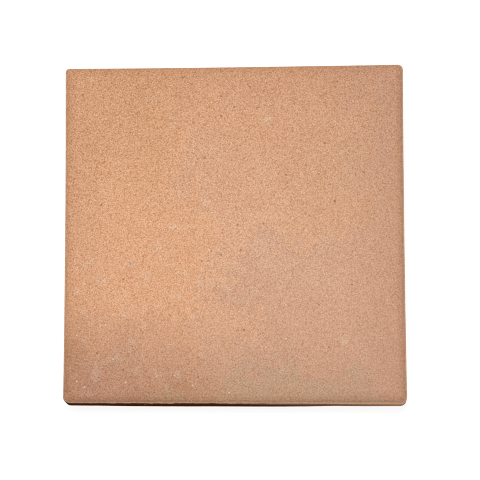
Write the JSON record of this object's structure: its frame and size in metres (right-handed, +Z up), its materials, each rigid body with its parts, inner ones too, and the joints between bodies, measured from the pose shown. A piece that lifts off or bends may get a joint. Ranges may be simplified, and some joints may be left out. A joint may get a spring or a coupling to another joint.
{
  "type": "terracotta floor tile",
  "caption": "Square unglazed terracotta floor tile with a fine sandy wear face, rolled arrises, slightly hollow sides and a back keyed with dovetail grooves.",
  "frame": {"origin": "middle of the bedding face, on the floor that the tile lies on", "axes": "+Z up through the thickness to the wear face, +X along the keying grooves, +Y across them"},
  "size_m": [0.2002, 0.2014, 0.02],
  "materials": {
    "fired_clay": "matte"
  },
  "bodies": {
    "root": {"floor_tile": "fired_clay"}
  },
  "joints": []
}
